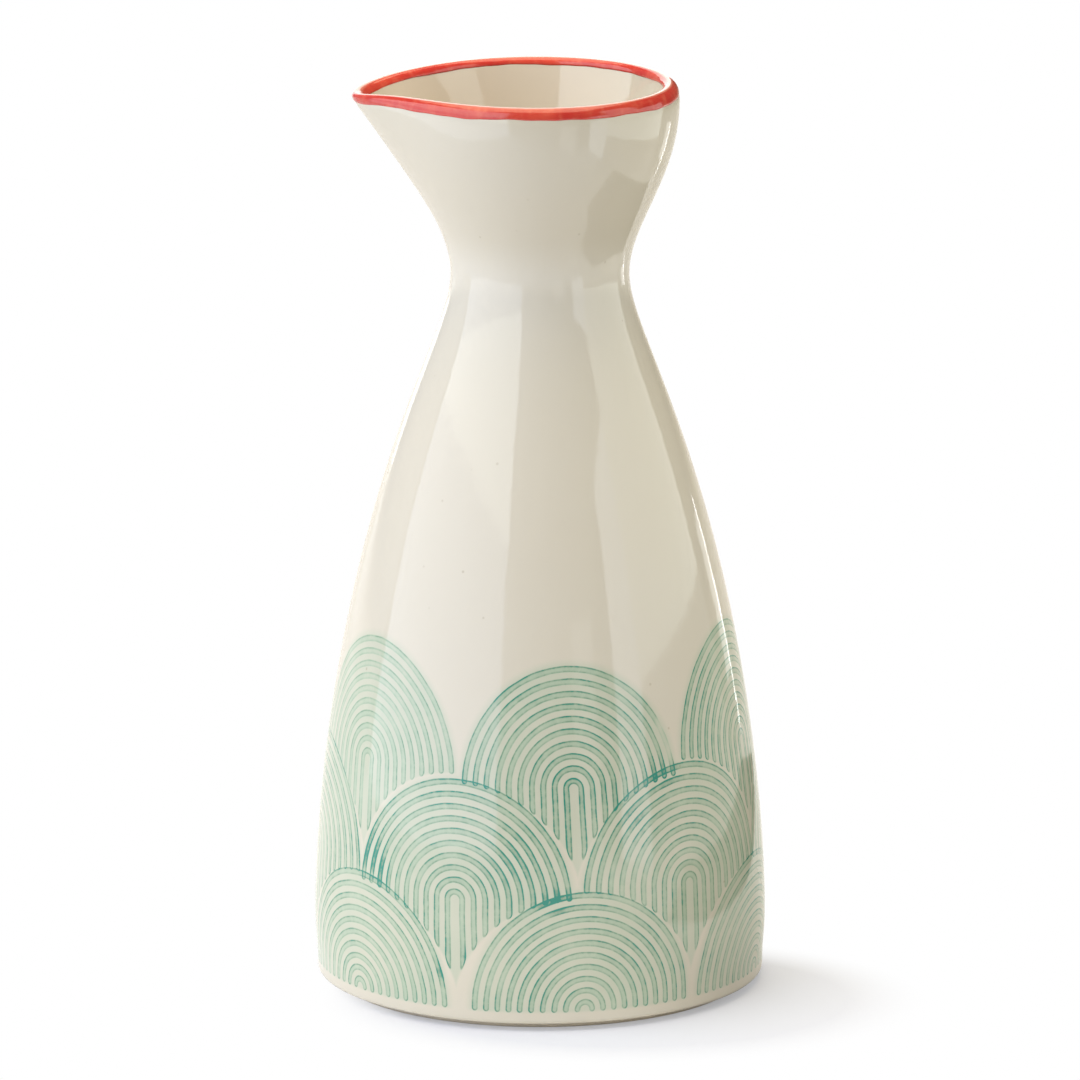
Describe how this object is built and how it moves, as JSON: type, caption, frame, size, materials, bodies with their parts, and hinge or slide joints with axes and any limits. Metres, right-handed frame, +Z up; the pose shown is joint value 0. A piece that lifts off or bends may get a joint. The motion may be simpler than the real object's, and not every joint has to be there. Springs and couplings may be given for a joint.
{
  "type": "sake bottle",
  "caption": "Free-standing ceramic sake flask: tall rounded-cone body, narrow neck, flared mouth pinched to a pouring lip, red rim, green stamped wave pattern on cream glaze.",
  "frame": {"origin": "centre of the foot, on the plane that the bottle stands on", "axes": "+Z up along the bottle's axis; the pouring lip points along -X; the side the picture was taken from faces -Y"},
  "size_m": [0.0768, 0.0768, 0.155],
  "materials": {
    "cream_glaze": "glossy cream glaze, with a green stamped wave pattern on the body",
    "red_enamel": "glossy brushed red enamel",
    "bare_clay": "unglazed fired clay"
  },
  "bodies": {
    "root": {"body": "cream_glaze", "mouth": "cream_glaze", "rim_band": "red_enamel", "foot_ring": "bare_clay"}
  },
  "joints": []
}
